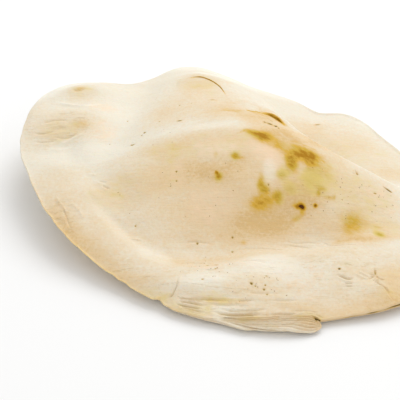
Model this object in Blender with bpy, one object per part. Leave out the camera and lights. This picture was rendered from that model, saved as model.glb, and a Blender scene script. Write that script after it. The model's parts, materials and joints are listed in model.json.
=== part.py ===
"""Baladi bread: one round, flat, puffed loaf with a soft thin rim.

The loaf is one solid. Its top is a height over the plan: a low brim all round, a dome that rises from it
in a long ridge, and the creases, hollows and folds of the skin. Its underside is flat where it rests and
curls up with the rim. Between the two runs the thin edge, where the two skins of the loaf meet.
Metres, +Z up. The loaf stands on Z = 0 and its box is centred on the Z axis. -Y is the front.
"""

from collections import namedtuple

import bmesh
import bpy
import numpy as np

MM = 0.001

# Driving dimensions of the edge, in metres.
EDGE_THICKNESS = 2.4 * MM
SEAM_DEPTH = 0.9 * MM

# Fillets between the parts of the skin, and how round the top of the dome's ridge is.
FOOT_FILLET = 4 * MM
RIDGE_SOFTNESS = 0.07
DOME_BRIM = 34 * MM
ROLL_BACK = 16 * MM

# The underside leaves the table this far in from a rim with no lift, and further as the rim lifts more.
FOOT_INSET = 9 * MM
OVERHANG_PER_LIFT = 1.9

# Density of the mesh: ring k of the top has 6 k points, so its triangles are all of a size.
TOP_RINGS = 38
UNDERSIDE_RINGS = 6
UNDERSIDE_POINTS = 120

# The rim, anticlockwise from +X: bearing in degrees, then, in millimetres, radius, lift of the underside
# off the table, height of the soft roll of the brim, and how far in from the rim that roll lies.
Rim = namedtuple("Rim", "bearing radius lift roll inset")
RIM = (
    Rim(7, 116.5, 5, 10, 30),
    Rim(24, 111, 6, 10, 30),
    Rim(34, 111, 7, 11, 30),
    Rim(45, 113.5, 8, 12, 30),
    Rim(56, 107, 10, 13, 30),
    Rim(66, 108, 11, 15, 30),
    Rim(75, 107, 14, 19, 30),
    Rim(84, 108, 18, 24, 30),
    Rim(92, 112, 23, 30, 30),
    Rim(101, 118, 27, 34, 30),
    Rim(107, 119, 27, 33, 30),
    Rim(114, 119, 23, 30, 30),
    Rim(122, 118, 23, 30, 30),
    Rim(131, 124.5, 27, 32, 30),
    Rim(139, 131, 30, 33, 30),
    Rim(148, 133, 31, 34, 30),
    Rim(163, 127.5, 28, 31, 28),
    Rim(171, 123.5, 24, 27, 26),
    Rim(182, 115, 21, 25.5, 24),
    Rim(200, 107, 16, 22, 22),
    Rim(209, 104, 13, 19, 20),
    Rim(222, 101, 8, 15.5, 17),
    Rim(235, 100.5, 4.5, 12.5, 17),
    Rim(244, 103, 3, 12, 18),
    Rim(251, 105, 2, 12, 22),
    Rim(258, 107.5, 2, 12, 28),
    Rim(270, 109.5, 1.5, 12.5, 36),
    Rim(285, 112.5, 1.5, 12.5, 42),
    Rim(297, 117, 2.5, 13, 42),
    Rim(309, 124, 4.5, 14, 42),
    Rim(319, 124.5, 5, 14, 42),
    Rim(334, 121.5, 5, 13, 38),
    Rim(351, 119.5, 5, 12, 32),
)

# A tongue of skin is folded out past the front of the rim: the bearings where it starts, is full and
# ends, how quickly its tip rounds off, all in degrees, then how far it stands out and how much thicker
# it is than the rest of the edge.
TONGUE_START = 262
TONGUE_FULL = 284
TONGUE_END = 289.5
TONGUE_TIP = 2.5
TONGUE_REACH = 5.5 * MM
TONGUE_THICKNESS = 1.6 * MM

# A small nick in the rim, to the left of the tongue.
NICK_BEARING = 247
NICK_HALF_WIDTH = 2.2
NICK_DEPTH = 2 * MM

# The dome, in slices from left to right, in millimetres: where its ridge lies, how high it is, and how
# wide the slopes are in front of it and behind it.
Slice = namedtuple("Slice", "x ridge height front back")
DOME = (
    Slice(-100, -22, 22, 60, 300),
    Slice(-81, -10, 25, 62, 320),
    Slice(-64, 0, 30, 70, 360),
    Slice(-47, 9, 36, 86, 360),
    Slice(-22, 12, 42, 84, 300),
    Slice(5, 9, 45, 78, 200),
    Slice(27, 7, 42, 72, 115),
    Slice(47, 2, 36, 68, 66),
    Slice(66, -4, 28, 64, 36),
    Slice(90, -11, 20, 58, 30),
    Slice(115, -18, 10, 54, 26),
)

# Soft mounds (height above 0) and hollows (below 0) of the skin, in millimetres and degrees. The ground
# ones lie under the dome and the brim, the others on top of everything.
Swell = namedtuple("Swell", "x y length width turn height")
GROUND_HEIGHT = 9 * MM
GROUND = (
    Swell(-80, 58, 84, 58, 30, 23),
    Swell(-84, 8, 32, 26, 0, 7),
)
SWELLS = (
    Swell(-89, 73, 20, 9, 10, 4.5),
    Swell(-92, 42, 28, 12, 0, 2.5),
    Swell(-24, 84, 26, 13, -10, 2.5),
    Swell(-66, -18, 18, 9, -45, -1.5),
    Swell(18, -40, 24, 9, 5, -2),
    Swell(8, -66, 26, 9, 0, 1.2),
    Swell(-16, -86, 28, 6, 0, 1.6),
    Swell(69, -78, 4, 12, -25, -1),
)

# Lips where one skin lies over another: the curve of the lip from its start to its end, with the raised
# skin on the left of it, how high the lip stands, and how far back from it the raised skin reaches.
Lip = namedtuple("Lip", "points height reach")
LIPS = (
    Lip(((-31, 82), (-25, 83), (-17, 80), (-9, 71), (-4, 57), (-3, 51)), 2.4, 16),
    Lip(((4, 36), (12, 36), (21, 31), (30, 19)), 2.6, 14),
    Lip(((-32, -98), (-10, -97), (15, -97), (44, -99)), 1.2, 12),
    Lip(((38, -124), (36, -110), (24, -105.5), (4, -105), (-14, -103)), 2, 9),
)
LIP_SOFTNESS = 3.5 * MM
LIP_TAPER = 0.2

# Slow unevenness of the skin.
WAVES_HEIGHT = 0.7 * MM
WAVES_LENGTH = 26 * MM
WAVES_SEED = 11


def ease(t):
    """0 to 1 as t goes from 0 to 1, level at both ends."""
    t = np.clip(t, 0, 1)
    return t * t * (3 - 2 * t)


def bell(t):
    """1 at 0, falling smoothly to 0 at 1 and at -1."""
    return 1 - ease(np.abs(t))


def swell_up(t):
    """0 to 1 as t goes from 0 to 1, steep at first and level at the end."""
    return np.sin(np.clip(t, 0, 1) * np.pi / 2)


def smooth_max(a, b, fillet):
    """The higher of two heights, with a fillet where they meet."""
    near = np.clip(1 - np.abs(a - b) / np.maximum(fillet, 1e-9), 0, 1)
    return np.maximum(a, b) + near * near * fillet / 4


def smooth_curve(at, knots, values):
    """A smooth curve through values at rising knots (cubic Hermite), read at the places at."""
    slope = np.gradient(values, knots)
    i = np.clip(np.searchsorted(knots, at, side="right") - 1, 0, len(knots) - 2)
    step = knots[i + 1] - knots[i]
    t = np.clip((at - knots[i]) / step, 0, 1)
    return (
        values[i] * (1 + 2 * t) * (1 - t) ** 2
        + slope[i] * step * t * (1 - t) ** 2
        + values[i + 1] * t * t * (3 - 2 * t)
        + slope[i + 1] * step * t * t * (t - 1)
    )


def round_the_rim(bearing, column):
    """A column of RIM, in metres, at bearings in radians. The list is repeated to close smoothly."""
    knots = np.array([r.bearing for r in RIM], float)
    values = np.array([getattr(r, column) for r in RIM], float) * MM
    knots = np.concatenate([knots - 360, knots, knots + 360])
    return smooth_curve(np.degrees(bearing) % 360, knots, np.tile(values, 3))


def tongue(bearing):
    """How much of the tongue there is at a bearing, from 0 to 1."""
    degrees = np.degrees(bearing) % 360
    root = ease((degrees - TONGUE_START) / (TONGUE_FULL - TONGUE_START))
    return root * ease((TONGUE_END - degrees) / TONGUE_TIP)


def rim_radius(bearing):
    """How far the rim lies from the middle, with the tongue and the nick."""
    nick = NICK_DEPTH * bell((np.degrees(bearing) % 360 - NICK_BEARING) / NICK_HALF_WIDTH)
    return round_the_rim(bearing, "radius") + TONGUE_REACH * tongue(bearing) - nick


def edge_thickness(bearing):
    return EDGE_THICKNESS + TONGUE_THICKNESS * tongue(bearing)


def edge_height(bearing):
    """Height of the rim of the top skin."""
    return round_the_rim(bearing, "lift") + edge_thickness(bearing)


def dome(x, y):
    """A tent over the ridge with a rounded top. It falls below 0 past its foot."""
    table = np.array(DOME, float) * MM
    ridge, height, front, back = (smooth_curve(x, table[:, 0], column) for column in table.T[1:])
    away = (y - ridge) / np.where(y < ridge, front, back)
    span = np.sqrt(1 + RIDGE_SOFTNESS) - np.sqrt(RIDGE_SOFTNESS)
    fall = (np.sqrt(away**2 + RIDGE_SOFTNESS) - np.sqrt(RIDGE_SOFTNESS)) / span
    return height * (1 - fall)


def swelling(swells, x, y):
    """The sum of these mounds and hollows."""
    total = np.zeros(x.shape)
    for s in swells:
        turn = np.radians(s.turn)
        dx, dy = x - s.x * MM, y - s.y * MM
        along = (dx * np.cos(turn) + dy * np.sin(turn)) / (s.length * MM)
        across = (dy * np.cos(turn) - dx * np.sin(turn)) / (s.width * MM)
        total += s.height * MM * np.exp(-(along**2 + across**2))
    return total


def waves(x, y, length, seed):
    """Smooth random heights from -1 to 1, with a new one every length metres."""
    table = np.random.default_rng(seed).uniform(-1, 1, (64, 64))
    u, v = x / length + 32, y / length + 32
    i, j = np.floor(u).astype(int), np.floor(v).astype(int)
    p, q = ease(u - i), ease(v - j)
    near = table[i, j] * (1 - p) + table[i + 1, j] * p
    far = table[i, j + 1] * (1 - p) + table[i + 1, j + 1] * p
    return near * (1 - q) + far * q


def lip_curve(points, count=25):
    """The smooth curve through a lip's points, in metres."""
    points = np.array(points, float) * MM
    knots = np.arange(len(points), dtype=float)
    at = np.linspace(0, len(points) - 1, count)
    return np.stack([smooth_curve(at, knots, column) for column in points.T], axis=1)


def lip_relief(lip, x, y):
    """The skin steps up at the lip, and comes back down to where it was behind it and past its ends."""
    curve = lip_curve(lip.points)
    away = np.full(x.shape, np.inf)
    side = np.zeros(x.shape)
    along = np.zeros(x.shape)
    for i, (start, step) in enumerate(zip(curve, np.diff(curve, axis=0))):
        dx, dy = x - start[0], y - start[1]
        t = np.clip((dx * step[0] + dy * step[1]) / (step @ step), 0, 1)
        distance = np.hypot(dx - t * step[0], dy - t * step[1])
        closer = distance < away
        away = np.where(closer, distance, away)
        side = np.where(closer, (step[0] * dy - step[1] * dx) / np.hypot(*step), side)
        along = np.where(closer, (i + t) / (len(curve) - 1), along)
    taper = ease(along / LIP_TAPER) * ease((1 - along) / LIP_TAPER)
    raised = ease(0.5 + side / LIP_SOFTNESS) * np.exp(-((away / (lip.reach * MM)) ** 2))
    return lip.height * MM * taper * raised


def brim(x, y, inset, bearing):
    """The brim: it swells up from the rim to its soft roll and sinks behind that to the ground."""
    edge = edge_height(bearing)
    crest = round_the_rim(bearing, "roll")
    reach = round_the_rim(bearing, "inset")
    ground = GROUND_HEIGHT + swelling(GROUND, x, y)
    outer = edge + (crest - edge) * swell_up(inset / reach)
    inner = crest + (ground - crest) * ease((inset - reach) / ROLL_BACK)
    return np.where(inset < reach, outer, inner)


def top_height(x, y):
    """Height of the top skin over the plan."""
    bearing = np.arctan2(y, x)
    inset = np.maximum(round_the_rim(bearing, "radius") - np.hypot(x, y), 0)
    edge = edge_height(bearing)
    puff = edge + (dome(x, y) - edge) * swell_up(inset / DOME_BRIM)
    loaf = smooth_max(brim(x, y, inset, bearing), puff, FOOT_FILLET * ease(inset / DOME_BRIM))
    relief = swelling(SWELLS, x, y) + WAVES_HEIGHT * waves(x, y, WAVES_LENGTH, WAVES_SEED)
    relief += sum(lip_relief(lip, x, y) for lip in LIPS)
    return loaf + relief * ease(inset / FOOT_FILLET)


def underside_width(bearing):
    """How far in from the rim the underside comes down on the table."""
    return FOOT_INSET + OVERHANG_PER_LIFT * round_the_rim(bearing, "lift")


def underside_height(inset, bearing):
    """Height of the bottom skin, inset metres in from the rim: it curls up from the table to the rim."""
    return round_the_rim(bearing, "lift") * (1 - ease(inset / underside_width(bearing)))


def bearings(count):
    return np.arange(count) * 2 * np.pi / count


def stitch(mesh, inner, outer):
    """Joins two rings of vertices with triangles. Each ring is evenly spaced and starts at bearing 0."""
    i = j = 0
    while i < len(inner) or j < len(outer):
        a, b = inner[i % len(inner)], outer[j % len(outer)]
        if (i + 1) * len(outer) < (j + 1) * len(inner) or j == len(outer):
            mesh.faces.new((a, b, inner[(i + 1) % len(inner)]))
            i += 1
        else:
            mesh.faces.new((a, b, outer[(j + 1) % len(outer)]))
            j += 1


def ring(mesh, x, y, z):
    return [mesh.verts.new(point) for point in zip(x, y, z)]


def top_ring(mesh, k):
    bearing = bearings(6 * k)
    radius = rim_radius(bearing) * k / TOP_RINGS
    x, y = radius * np.cos(bearing), radius * np.sin(bearing)
    return ring(mesh, x, y, top_height(x, y))


def seam_ring(mesh):
    """The bottom of the groove in the thin edge, where the two skins meet."""
    bearing = bearings(6 * TOP_RINGS)
    radius = rim_radius(bearing) - SEAM_DEPTH
    height = round_the_rim(bearing, "lift") + 0.5 * edge_thickness(bearing)
    return ring(mesh, radius * np.cos(bearing), radius * np.sin(bearing), height)


def underside_ring(mesh, k):
    bearing = bearings(6 * TOP_RINGS if k == 0 else UNDERSIDE_POINTS)
    inset = underside_width(bearing) * k / UNDERSIDE_RINGS
    radius = rim_radius(bearing) - inset
    return ring(mesh, radius * np.cos(bearing), radius * np.sin(bearing), underside_height(inset, bearing))


def loaf_mesh():
    """The closed skin of the loaf: top rings, the thin edge, the underside and its flat foot."""
    mesh = bmesh.new()
    middle = ring(mesh, np.zeros(1), np.zeros(1), top_height(np.zeros(1), np.zeros(1)))[0]
    inner = top_ring(mesh, 1)
    for start, end in zip(inner, inner[1:] + inner[:1]):
        mesh.faces.new((middle, start, end))
    rings = [inner]
    rings += [top_ring(mesh, k) for k in range(2, TOP_RINGS + 1)]
    rings += [seam_ring(mesh)]
    rings += [underside_ring(mesh, k) for k in range(UNDERSIDE_RINGS + 1)]
    for inner, outer in zip(rings, rings[1:]):
        stitch(mesh, inner, outer)
    mesh.faces.new(list(reversed(rings[-1])))
    bmesh.ops.recalc_face_normals(mesh, faces=mesh.faces)
    return mesh


def skin_material():
    """The skin's finish: pale baked wheat, dull."""
    material = bpy.data.materials.new("baked_skin")
    material.use_nodes = True
    shader = material.node_tree.nodes["Principled BSDF"]
    shader.inputs["Base Color"].default_value = (0.84, 0.69, 0.47, 1)
    shader.inputs["Roughness"].default_value = 0.75
    shader.inputs["Metallic"].default_value = 0
    return material


def make_bread():
    """The node of the loaf, with its box centred on the Z axis."""
    mesh = loaf_mesh()
    x = [v.co.x for v in mesh.verts]
    y = [v.co.y for v in mesh.verts]
    middle = ((min(x) + max(x)) / 2, (min(y) + max(y)) / 2, 0)
    bmesh.ops.translate(mesh, verts=mesh.verts, vec=[-c for c in middle])
    data = bpy.data.meshes.new("bread")
    mesh.to_mesh(data)
    mesh.free()
    data.shade_smooth()
    data.materials.append(skin_material())
    bread = bpy.data.objects.new("bread", data)
    bpy.context.scene.collection.objects.link(bread)
    return bread


for leftover in list(bpy.data.objects):
    bpy.data.objects.remove(leftover)
make_bread()
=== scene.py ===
"""The looks of the baladi bread: its fine skin and folds, its baked colours with painted shade and
highlights, the light and the camera.

The frame's one node is the plain loaf. The skin made here stands for it: the same form at a finer pitch,
with folds that overhang, wrinkles and pits.

Metres, +Z up. Places in the tables are in millimetres in the loaf's own plan, whose origin the rim runs
round. The finished skin is centred on the frame's node.
"""

import json
from collections import namedtuple
from math import cos, radians, sin

import bmesh
import bpy
import numpy as np
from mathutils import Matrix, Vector

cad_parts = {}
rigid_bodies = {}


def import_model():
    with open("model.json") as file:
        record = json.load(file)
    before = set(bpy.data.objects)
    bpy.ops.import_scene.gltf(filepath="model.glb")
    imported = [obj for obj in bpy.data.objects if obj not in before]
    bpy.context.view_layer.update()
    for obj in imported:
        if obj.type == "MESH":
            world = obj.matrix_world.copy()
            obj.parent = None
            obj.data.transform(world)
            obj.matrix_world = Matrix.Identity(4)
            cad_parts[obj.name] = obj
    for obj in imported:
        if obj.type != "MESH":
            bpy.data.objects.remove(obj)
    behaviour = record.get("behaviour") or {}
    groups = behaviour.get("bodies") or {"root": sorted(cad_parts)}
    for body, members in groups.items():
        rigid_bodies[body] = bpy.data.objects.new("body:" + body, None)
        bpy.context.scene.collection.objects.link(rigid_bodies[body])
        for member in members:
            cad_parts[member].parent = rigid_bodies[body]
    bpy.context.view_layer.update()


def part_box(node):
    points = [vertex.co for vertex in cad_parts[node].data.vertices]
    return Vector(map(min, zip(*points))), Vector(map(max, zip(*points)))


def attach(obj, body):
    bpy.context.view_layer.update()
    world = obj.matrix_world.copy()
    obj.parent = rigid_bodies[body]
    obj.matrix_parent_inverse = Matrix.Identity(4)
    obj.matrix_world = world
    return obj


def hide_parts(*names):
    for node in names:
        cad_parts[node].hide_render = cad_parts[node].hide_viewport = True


MM = 0.001


def each(kind, rows):
    """Rows of plain values as entries of one kind."""
    return tuple(kind(*row) for row in rows)


# ---------------------------------------------------------------------------------------------- the form

# The fillet where the dome meets the brim, and how round the dome's ridge is.
FOOT_FILLET = 4 * MM
RIDGE_SOFTNESS = 0.07
# How far in from the rim the dome has swelled up, and how far behind its roll the brim sinks to the ground.
DOME_BRIM = 34 * MM
ROLL_BACK = 16 * MM
# How far in from the rim the underside touches the table, and how much further for each millimetre of lift.
FOOT_INSET = 9 * MM
OVERHANG_PER_LIFT = 1.9

# Ring k of the top, and of the underside, has k times RING_STEP points.
RING_STEP = 6
TOP_RINGS = 122
UNDERSIDE_RINGS = 48

# The rim, anticlockwise from +X: bearing in degrees, then, in millimetres, radius, lift of the underside
# off the table, thickness of the edge, height of the soft roll of the brim, and how far in from the rim
# that roll lies.
Rim = namedtuple("Rim", "bearing radius lift edge roll inset")
RIM = each(Rim, (
    (7, 116.5, 5, 2.4, 10, 30), (24, 110.5, 5.2, 2.4, 10, 30), (34, 110.5, 6.4, 2.4, 11, 30),
    (45, 113.5, 8, 2.4, 12, 30), (50, 111.5, 9.2, 2.4, 12.5, 30), (58, 104, 8.8, 2.4, 13, 30),
    (66, 107, 10.6, 2.4, 15, 30), (75, 107, 14, 2.4, 19, 30), (84, 108, 18, 2.4, 24, 30),
    (92, 112, 23, 2.4, 30, 30), (101, 118, 27, 2.4, 34, 30), (107, 119, 27, 2.4, 33, 30),
    (114, 119, 23, 2.4, 30, 30), (122, 118, 23, 2.4, 30, 30), (131, 124.5, 27, 2.4, 32, 30),
    (139, 131, 30, 2.4, 33, 30), (148, 133, 31, 2.4, 34, 30), (163, 127.5, 28, 2.4, 31, 28),
    (171, 123.5, 24.2, 2.2, 27, 26), (182, 115, 21.6, 1.8, 25.5, 24), (200, 107, 17, 1.4, 22, 22),
    (209, 104, 14.1, 1.3, 19, 20), (222, 101, 9.1, 1.3, 15.5, 17), (235, 100.5, 5.6, 1.3, 12.5, 17),
    (244, 103, 4, 1.4, 12, 18), (251, 105, 2.8, 1.6, 12, 22), (258, 107.5, 2.4, 2, 12, 28),
    (270, 109.5, 1.5, 2.4, 12.5, 36), (285, 113.3, 1.2, 2, 12.5, 42), (297, 118, 2.2, 1.8, 13, 42),
    (309, 125, 3.6, 2.4, 14, 42), (319, 125.2, 4.6, 2.4, 14, 42), (334, 121.5, 5, 2.4, 13, 38),
    (351, 119.5, 5, 2.4, 12, 32),
))

# The lower skin stands out past the front of the rim, under the tongue: where, as bearings in degrees, how
# far, and how much thinner the edge is there.
LEDGE_START = 262
LEDGE_FULL = 272
LEDGE_END = 288
LEDGE_FADE = 7
LEDGE_REACH = 4.5 * MM
LEDGE_THINNING = 0.9 * MM

# Smooth random heights: how high, length along X and width along Y in millimetres, and their seed. They
# come from a square table with so many heights to a side.
Wave = namedtuple("Wave", "height length width seed")
WAVE_TABLE = 160

# The tongue, a flap of skin that is folded over the rim in front. Its ribs run from its root to its tip, in
# millimetres: where, how far out its outer and its inner edge lie, and how thick it is.
Rib = namedtuple("Rib", "x outer inner thickness")
TONGUE = each(Rib, (
    (-14, -108, -106.8, 0.2), (-5, -109.8, -106.9, 1), (5, -113.2, -108, 2), (13, -115, -108.4, 2.5),
    (20, -115.6, -107.4, 2.7), (28, -115.8, -107, 2.7), (34, -115.4, -107.4, 2.3),
    (39.4, -114.4, -108.4, 1.5),
))
# How far back its tip is round, how much it droops past the rim, how full its section is and how that thins
# to the tip, and how deep its root is sunk.
TONGUE_TIP = 6.5 * MM
TONGUE_DROOP = 0.45
TONGUE_ROUNDNESS = 2.6
TONGUE_THINNING = 0.8
TONGUE_SINK = 0.6 * MM
# Its mesh has so many steps along it, closer together towards the tip, and so many points across.
TONGUE_STEPS = 170
TONGUE_CROWDING = 1.6
TONGUE_RIBS = 44
# Its pleats run along it: where across it they lie, from -1 at its outer edge to 1 at its inner one, and how
# deep they are in millimetres. Each reaches this far to its sides, and they wander by a wave, which is in
# thousandths. They are in full only where the tongue is so thick, and their grooves are painted with this
# much shade for each millimetre.
PLEATS = ((-0.72, 1.2), (-0.4, 1.5), (-0.1, 1.0), (0.2, 1.7), (0.5, 1.3), (0.78, 1.4))
PLEAT_WIDTH = 0.14
PLEAT_WANDER = Wave(130, 11, 5, 41)
PLEAT_THICKNESS = 2 * MM
PLEAT_SHADE = 0.12
# The hem runs round the tip: how far out from the middle, as the pleats, and its depth. Below 0 it stands up.
HEM = (0.93, -0.5)
# The lower side of the tip is painted with shadow this dark, over this length.
TIP_SHADOW = 0.9
TIP_SHADOW_REACH = 5 * MM

# A small nick in the rim, to the left of the tongue: its middle and half width in degrees, and its depth.
NICK_BEARING = 247
NICK_HALF_WIDTH = 2.2
NICK_DEPTH = 2 * MM

# The dome, in slices from left to right: where its ridge lies, how high it is, and how wide the slopes are
# in front of it and behind it.
Slice = namedtuple("Slice", "x ridge height front back")
DOME = each(Slice, (
    (-100, -22, 22, 60, 300), (-81, -10, 25, 62, 320), (-64, 0, 30, 70, 360), (-47, 9, 36, 86, 360),
    (-22, 12, 42, 84, 300), (5, 9, 45, 78, 200), (27, 7, 42, 72, 110), (47, 2, 36, 68, 55),
    (66, -4, 28, 64, 36), (90, -12, 18, 58, 28), (115, -18, 8, 54, 26),
))

# Soft mounds (height above 0) and hollows (below 0), in millimetres: where, how far they reach to each side
# along X and along Y, and how high they are. Some are turned by so many degrees. The ground ones lie under
# the dome and the brim, the others on top of everything.
Swell = namedtuple("Swell", "x y length width height turn", defaults=(0,))
GROUND_HEIGHT = 9 * MM
GROUND = each(Swell, ((-80, 58, 84, 58, 23, 30), (-84, 8, 32, 26, 7)))
SWELLS = each(Swell, (
    (-89, 73, 20, 9, 4.5, 10), (-92, 42, 28, 12, 2.5), (-24, 84, 26, 13, 2.5, -10),
    (-66, -18, 18, 9, -1.5, -45), (18, -40, 24, 9, -2, 5), (8, -66, 26, 9, 1.2), (-16, -87, 28, 6, 2),
    (-18, -67, 26, 8, -1.3), (69, -78, 4, 12, -1, -25),
))

# Lips where one skin lies over another: the curve of the lip, with the raised skin on the left of it, how
# high the lip stands, how far back from it the raised skin reaches, how far it hangs over, and in which
# share of the curve it rises.
Lip = namedtuple("Lip", "points height reach overhang taper")
LIPS = each(Lip, (
    (((-27, 82), (-20.4, 81.4), (-15, 78), (-10.5, 72.8), (-6.6, 65), (-4, 56)), 0.6, 9, 0.3, 0.2),
    (((16, 33.4), (20, 32.4), (23.4, 29.4), (26.4, 25.4), (29, 20)), 1.9, 11, 0.3, 0.45),
    (((76.5, -99), (74.1, -94.3), (72.1, -90.2), (68.8, -87.6), (66, -83)), 1.7, 8, 0, 0.35),
))

# A lip is this wide. The cut across it, from the lower skin to the raised one: share of the width that is
# passed, share of the overhang by which the skin is drawn in under the lip (below 0: out over the lower
# skin), and share of the lip's height.
LIP_WIDTH = 1.6 * MM
Fold = namedtuple("Fold", "passed drawn height")
FOLD = each(Fold, ((0, 0, 0), (0.3, 1, -0.1), (0.6, -0.5, 0.5), (0.8, -0.9, 0.85), (1, -0.5, 1)))

# The thin edge from its top to its bottom: share of the thickness, and how far in it lies, in millimetres.
# Where the edge is thinner than in full, its bottom is drawn in further, by this much for each millimetre.
EDGE_PROFILE = ((0.82, -0.25), (0.64, 0), (0.5, 0.9), (0.36, 0), (0.18, -0.25), (0, 0.1))
FULL_EDGE = 2.4 * MM
UNDERCUT = 1.6

# Where the seam of the edge gapes, shade is painted in it: middle and half width of that stretch of the rim,
# in degrees, and how dark that painted shade is. It is darkest in the middle of the edge's thickness and
# fades over this share of it.
Seam = namedtuple("Seam", "bearing spread darkness")
SEAMS = each(Seam, ((172, 9, 0.5), (297, 4, 0.7), (302.5, 2.4, 1.2), (310, 7, 1.3), (322, 8, 0.6)))
SEAM_SPREAD = 0.38

# Creases of the skin: the curve, how far the groove reaches to each side, and its depth, in millimetres. A
# depth below 0 makes a ridge. A groove has a low ridge on the right of its curve.
Crease = namedtuple("Crease", "points width depth")
CREASES = each(Crease, (
    # The wrinkles that fan out from the crack in front, on the left.
    (((-31, -95.4), (-25, -96.4), (-17, -99)), 0.8, 1.1),
    (((-31, -96.8), (-25, -98.3), (-16, -101)), 0.9, 1),
    (((-32, -97.8), (-26, -100), (-17, -102.8)), 0.8, 1.2),
    (((-30, -99.6), (-24, -102), (-16, -104.8)), 0.9, 1),
    (((-28, -102), (-23, -103.8), (-16, -106)), 0.8, 0.5),
    # The crack.
    (((-37, -95.4), (-33.5, -93.8), (-32.1, -91.7), (-31.1, -89.6), (-30.2, -84)), 0.7, 0.8),
    # The folds above the tongue.
    (((-30, -91), (-15, -92), (0, -91)), 5, -0.4),
    (((-27, -95.5), (-17, -97), (-4, -97.5)), 1.1, 0.8),
    (((-2, -97.5), (8, -97)), 0.9, 0.6),
    (((15, -97), (30, -97)), 0.9, 0.5),
    (((-16, -99.5), (-8, -100), (1, -99.6)), 1, 0.5),
    (((-15, -103.8), (-6, -104.8), (4, -104.6), (12, -104.8)), 1.2, 1.1),
    (((-12, -102.4), (-3, -102.8), (6, -102.6), (15, -102)), 0.9, 0.7),
    (((12, -105.6), (18, -104.6), (24, -104.8), (30, -104.2)), 0.8, 0.7),
    (((0, -92.5), (11, -93.5), (24, -92.5)), 1.2, 0.3),
    # Round the tongue: its outline, the gap at its tip with painted shadow in it, and the ripples outside it.
    (((-9, -106.2), (-2, -106.4), (6, -107), (13, -107.3), (20, -106.3), (28, -106), (34, -106.6)), 0.8, 0.9),
    (((30, -106), (34, -106.3), (36.6, -107), (38.4, -108.2), (39.4, -109.8)), 0.8, 1),
    (((24, -103.4), (30, -103.2), (35, -103.6), (39, -105)), 0.8, 0.35),
    (((30, -104.8), (35, -104.9), (38.5, -106), (41.5, -108)), 0.8, 0.45),
    # The wrinkles in front, on the right.
    (((49, -82.4), (51.7, -83.5), (54, -84.7), (58, -84.8)), 0.9, 1),
    (((52, -87.6), (57, -87.6)), 0.7, 0.6),
    (((52.5, -89.3), (57, -89.3)), 0.7, 0.45),
    (((52.5, -75.1), (55, -75.2), (58, -76.6)), 0.8, 0.45),
    (((69.3, -75.6), (69, -78), (68.8, -80.4)), 0.8, 0.8),
    (((68.6, -80.2), (70.5, -82.6), (73.5, -84.3)), 0.8, 0.8),
    (((64.6, -84), (66.5, -82.4), (68.6, -80)), 0.8, 0.7),
    (((74.8, -93.8), (72.8, -89.8), (69.6, -87), (67, -83)), 0.9, 0.6),
    (((59, -79), (63, -81), (66, -81.6)), 0.9, -0.4),
    (((57, -81), (62, -83), (65, -83.6)), 0.9, -0.35),
    # Fine lines where the dome runs out in front.
    (((24, -50.5), (31, -52), (38, -51.5), (45, -52.5)), 0.9, 0.35),
    (((25, -53), (33, -54.5), (43, -56)), 0.9, 0.35),
    (((43, -50), (53, -57), (65, -59)), 1.1, 0.35),
    (((-30, -54), (-21, -53), (-12, -54.5)), 0.9, 0.35),
    (((-3, -58.5), (7, -57), (20, -57), (31, -61)), 1, 0.35),
    (((-32, -70), (-24, -68), (-15, -70)), 1.1, 0.35),
    (((-28, -79.5), (-19, -78), (-10, -79)), 1.1, 0.35),
    (((-2, -72), (7, -71), (16, -73)), 1.1, 0.3),
    # The left brim.
    (((-73, -17), (-68, -20)), 0.9, 0.6),
    (((-82, -6), (-76, -8.5)), 1.4, -0.3),
    (((-75.5, -13.5), (-70, -15.5)), 0.8, 0.35),
    (((-88, -4), (-79, -19), (-70.5, -31), (-62.5, -38.5), (-55, -49), (-49, -62)), 4, -0.45),
    (((-57, -53), (-49, -53)), 1, -0.4),
    (((-98, -24), (-93, -33), (-90, -38)), 1.2, -0.35),
    (((-90, -30), (-84, -36), (-80, -44)), 1.6, -0.3),
    (((-93.5, -32), (-90, -41), (-86.5, -50)), 0.8, 0.3),
    # The bump at the back, and the ripples in front of it.
    (((-100, 84), (-91, 79), (-84, 78), (-76, 79)), 1, 0.9),
    (((-97, 69), (-92.6, 68.3), (-88, 70.5)), 1.6, 0.5),
    (((-104, 59), (-98, 54.5), (-89, 51.5), (-82, 55)), 2.4, -0.7),
    (((-93.5, 37.5), (-89, 38.2), (-85, 37.8)), 0.9, 0.6),
    (((-104, 43), (-98, 42.4), (-91, 43)), 1.2, 0.45),
    (((-112, 36), (-103, 37.4), (-94, 35.5)), 1.2, 0.5),
    (((-108, 32), (-101, 33), (-93, 32)), 1.3, -0.38),
    (((-117, 29.5), (-109, 28.6), (-101, 30.4)), 1.2, 0.5),
    (((-106, 27), (-98, 27.8), (-91, 27)), 1.3, -0.3),
    (((-103, 24.5), (-95, 24), (-89, 27)), 1.2, 0.6),
    (((-115, 23), (-107, 22), (-100, 23.4)), 1.2, 0.45),
    (((-102, 20), (-96, 20.8), (-90, 23.5), (-86, 26)), 1.7, -0.38),
    (((-108, 17), (-99, 15.5), (-90, 17)), 2, -0.25),
    # The slit's tail, and the strokes below the torn blister.
    (((-34, 72), (-33, 79), (-28, 82)), 1.4, 0.25),
    (((16, 18.4), (20, 17), (25, 13)), 0.8, 0.3),
    (((18, 26), (22, 21)), 0.8, 0.4),
    # Where the dome meets the far brim.
    (((65, -7), (67.5, -12)), 0.8, 0.5),
    (((79.5, -13.8), (83, -15.8), (86, -17.6)), 0.8, 0.6),
))
# A crease fades in this share of its curve at either end.
CREASE_TAPER = 0.3
# The ridge beside a groove: its share of the groove's depth, and, in widths of the groove, where it lies and
# how far it reaches.
SHOULDER = 0.45
SHOULDER_PLACE = 1.7
SHOULDER_WIDTH = 1.6
# Painted shade in a groove: how dark it is for each millimetre of its depth, in this share of its width.
CREASE_SHADE = 0.28
CREASE_SHADE_WIDTH = 0.8
# Nothing of a crease is felt further off than this many of its widths.
CREASE_REACH = 4
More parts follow.
